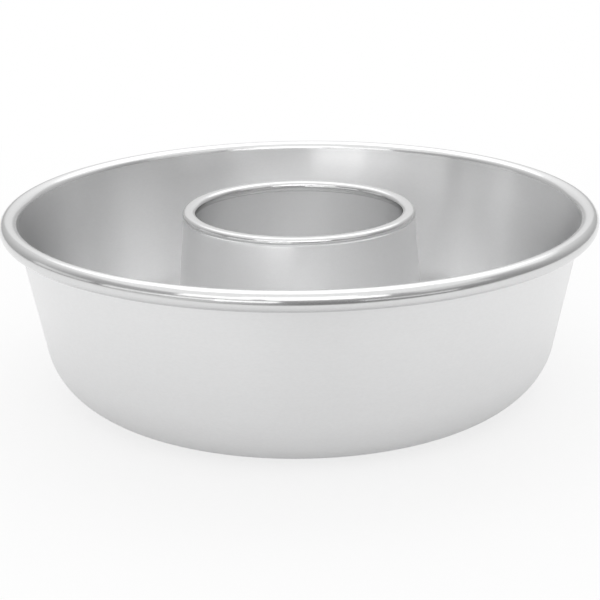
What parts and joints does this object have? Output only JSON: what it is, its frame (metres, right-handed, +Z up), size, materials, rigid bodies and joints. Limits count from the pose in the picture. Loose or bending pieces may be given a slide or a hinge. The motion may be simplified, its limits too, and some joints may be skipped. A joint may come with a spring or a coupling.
{
  "type": "angel food cake pan",
  "caption": "Round ring pan of spun sheet: tapered wall with a large bottom corner and an outward rolled rim, round an open centre tube with an inward rolled top, locked to the floor.",
  "frame": {"origin": "middle of the circle that the pan stands on, in the plane of the surface under it", "axes": "+Z up along the pan's axis of turning; X and Y are alike, because the pan is round"},
  "size_m": [0.2412, 0.2412, 0.0762],
  "materials": {
    "shell_aluminium": "satin, with fine circular brushing",
    "tube_aluminium": "satin, with fine circular brushing"
  },
  "bodies": {
    "root": {"pan_shell": "shell_aluminium", "center_tube": "tube_aluminium"}
  },
  "joints": []
}
